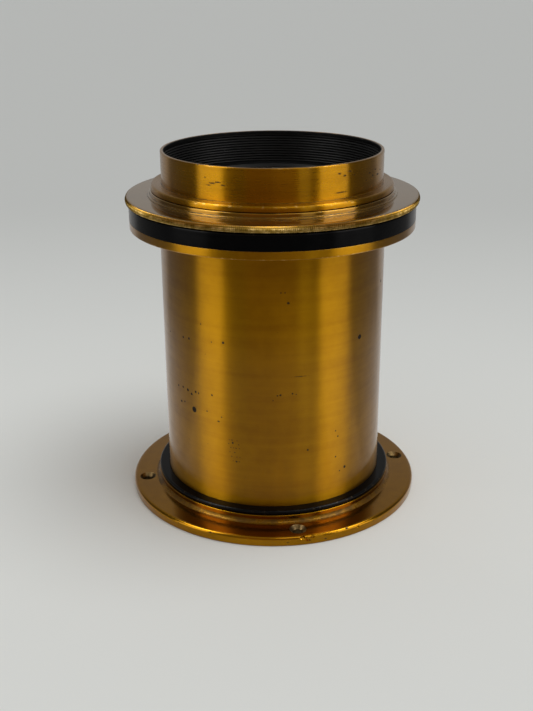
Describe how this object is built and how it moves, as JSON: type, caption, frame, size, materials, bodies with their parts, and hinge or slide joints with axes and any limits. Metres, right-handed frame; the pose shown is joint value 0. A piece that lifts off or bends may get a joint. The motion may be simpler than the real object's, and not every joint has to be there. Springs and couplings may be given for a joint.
{
  "type": "portrait lens",
  "caption": "Brass portrait lens standing on its screw flange: drawn barrel, black shoulder ring, knurled iris control ring over a black band, and a threaded front hood.",
  "frame": {"origin": "on the optical axis, in the plane of the flange's rear face", "axes": "+Z along the optical axis from the flange to the front hood, +X to the right seen from the front"},
  "size_m": [0.1024, 0.1024, 0.1208],
  "materials": {
    "lacquered_brass": "turned brass under amber lacquer, satin",
    "inner_brass": "plain turned brass, toned dark",
    "black_enamel": "glossy black enamel on brass",
    "matt_black": "matt optical black on brass",
    "blade_steel": "blued spring steel",
    "optical_glass": "polished uncoated glass"
  },
  "bodies": {
    "flange": {"mounting_flange": "lacquered_brass"},
    "mounting_ring": {"mounting_ring": "black_enamel"},
    "barrel": {"barrel_tube": "lacquered_brass", "iris_housing": "lacquered_brass", "aperture_scale_band": "black_enamel", "iris_base_plate": "matt_black", "iris_cover": "inner_brass"},
    "aperture_ring": {"aperture_control_ring": "lacquered_brass", "iris_cam_ring": "inner_brass", "aperture_drive_pin": "inner_brass"},
    "front_glass": {"front_crown_element": "optical_glass", "front_flint_element": "optical_glass"},
    "front_cell": {"front_cell_hood": "lacquered_brass", "front_retaining_ring": "matt_black"},
    "rear_glass": {"rear_crown_element": "optical_glass", "rear_flint_element": "optical_glass"},
    "rear_cell": {"rear_cell": "inner_brass", "rear_spacer_ring": "matt_black", "rear_retaining_ring": "matt_black"},
    "blade_01": {"iris_blade_01": "blade_steel"},
    "blade_02": {"iris_blade_02": "blade_steel"},
    "blade_03": {"iris_blade_03": "blade_steel"},
    "blade_04": {"iris_blade_04": "blade_steel"},
    "blade_05": {"iris_blade_05": "blade_steel"},
    "blade_06": {"iris_blade_06": "blade_steel"},
    "blade_07": {"iris_blade_07": "blade_steel"},
    "blade_08": {"iris_blade_08": "blade_steel"},
    "blade_09": {"iris_blade_09": "blade_steel"},
    "blade_10": {"iris_blade_10": "blade_steel"},
    "blade_11": {"iris_blade_11": "blade_steel"},
    "blade_12": {"iris_blade_12": "blade_steel"}
  },
  "joints": [
    {"name": "flange_thread_travel", "type": "slide", "parent": "flange", "child": "mounting_ring", "axis": [0, 0, 1], "range_m": [0, 0.00425]},
    {"name": "flange_thread_turn", "type": "hinge", "parent": "mounting_ring", "child": "barrel", "pos_m": [0, 0, 0.005], "axis": [0, 0, 1], "range_deg": [0, 1440]},
    {"name": "aperture_ring_turn", "type": "hinge", "parent": "barrel", "child": "aperture_ring", "pos_m": [0, 0, 0.105], "axis": [0, 0, 1], "range_deg": [0, 60]},
    {"name": "front_cell_travel", "type": "slide", "parent": "barrel", "child": "front_glass", "axis": [0, 0, 1], "range_m": [0, 0.00365]},
    {"name": "front_cell_turn", "type": "hinge", "parent": "front_glass", "child": "front_cell", "pos_m": [0, 0, 0.105], "axis": [0, 0, 1], "range_deg": [0, 1440]},
    {"name": "rear_cell_travel", "type": "slide", "parent": "barrel", "child": "rear_glass", "axis": [0, 0, -1], "range_m": [0, 0.00274]},
    {"name": "rear_cell_turn", "type": "hinge", "parent": "rear_glass", "child": "rear_cell", "pos_m": [0, 0, 0.01], "axis": [0, 0, -1], "range_deg": [0, 1080]},
    {"name": "blade_01_pivot", "type": "hinge", "parent": "barrel", "child": "blade_01", "pos_m": [0.0395, 0, 0.0976], "axis": [0, 0, 1], "range_deg": [0, 30]},
    {"name": "blade_02_pivot", "type": "hinge", "parent": "barrel", "child": "blade_02", "pos_m": [0.03421, 0.01975, 0.0976], "axis": [0, 0, 1], "range_deg": [0, 30]},
    {"name": "blade_03_pivot", "type": "hinge", "parent": "barrel", "child": "blade_03", "pos_m": [0.01975, 0.03421, 0.0976], "axis": [0, 0, 1], "range_deg": [0, 30]},
    {"name": "blade_04_pivot", "type": "hinge", "parent": "barrel", "child": "blade_04", "pos_m": [0, 0.0395, 0.0976], "axis": [0, 0, 1], "range_deg": [0, 30]},
    {"name": "blade_05_pivot", "type": "hinge", "parent": "barrel", "child": "blade_05", "pos_m": [-0.01975, 0.03421, 0.0976], "axis": [0, 0, 1], "range_deg": [0, 30]},
    {"name": "blade_06_pivot", "type": "hinge", "parent": "barrel", "child": "blade_06", "pos_m": [-0.03421, 0.01975, 0.0976], "axis": [0, 0, 1], "range_deg": [0, 30]},
    {"name": "blade_07_pivot", "type": "hinge", "parent": "barrel", "child": "blade_07", "pos_m": [-0.0395, 0, 0.0976], "axis": [0, 0, 1], "range_deg": [0, 30]},
    {"name": "blade_08_pivot", "type": "hinge", "parent": "barrel", "child": "blade_08", "pos_m": [-0.03421, -0.01975, 0.0976], "axis": [0, 0, 1], "range_deg": [0, 30]},
    {"name": "blade_09_pivot", "type": "hinge", "parent": "barrel", "child": "blade_09", "pos_m": [-0.01975, -0.03421, 0.0976], "axis": [0, 0, 1], "range_deg": [0, 30]},
    {"name": "blade_10_pivot", "type": "hinge", "parent": "barrel", "child": "blade_10", "pos_m": [0, -0.0395, 0.0976], "axis": [0, 0, 1], "range_deg": [0, 30]},
    {"name": "blade_11_pivot", "type": "hinge", "parent": "barrel", "child": "blade_11", "pos_m": [0.01975, -0.03421, 0.0976], "axis": [0, 0, 1], "range_deg": [0, 30]},
    {"name": "blade_12_pivot", "type": "hinge", "parent": "barrel", "child": "blade_12", "pos_m": [0.03421, -0.01975, 0.0976], "axis": [0, 0, 1], "range_deg": [0, 30]}
  ],
  "couplings": [
    {"joint": "flange_thread_travel", "follows": "flange_thread_turn", "m_per_rad": 0.00016844},
    {"joint": "front_cell_travel", "follows": "front_cell_turn", "m_per_rad": 0.00014438},
    {"joint": "rear_cell_travel", "follows": "rear_cell_turn", "m_per_rad": 0.00014438},
    {"joint": "blade_01_pivot", "follows": "aperture_ring_turn", "ratio": 0.5},
    {"joint": "blade_02_pivot", "follows": "aperture_ring_turn", "ratio": 0.5},
    {"joint": "blade_03_pivot", "follows": "aperture_ring_turn", "ratio": 0.5},
    {"joint": "blade_04_pivot", "follows": "aperture_ring_turn", "ratio": 0.5},
    {"joint": "blade_05_pivot", "follows": "aperture_ring_turn", "ratio": 0.5},
    {"joint": "blade_06_pivot", "follows": "aperture_ring_turn", "ratio": 0.5},
    {"joint": "blade_07_pivot", "follows": "aperture_ring_turn", "ratio": 0.5},
    {"joint": "blade_08_pivot", "follows": "aperture_ring_turn", "ratio": 0.5},
    {"joint": "blade_09_pivot", "follows": "aperture_ring_turn", "ratio": 0.5},
    {"joint": "blade_10_pivot", "follows": "aperture_ring_turn", "ratio": 0.5},
    {"joint": "blade_11_pivot", "follows": "aperture_ring_turn", "ratio": 0.5},
    {"joint": "blade_12_pivot", "follows": "aperture_ring_turn", "ratio": 0.5}
  ]
}
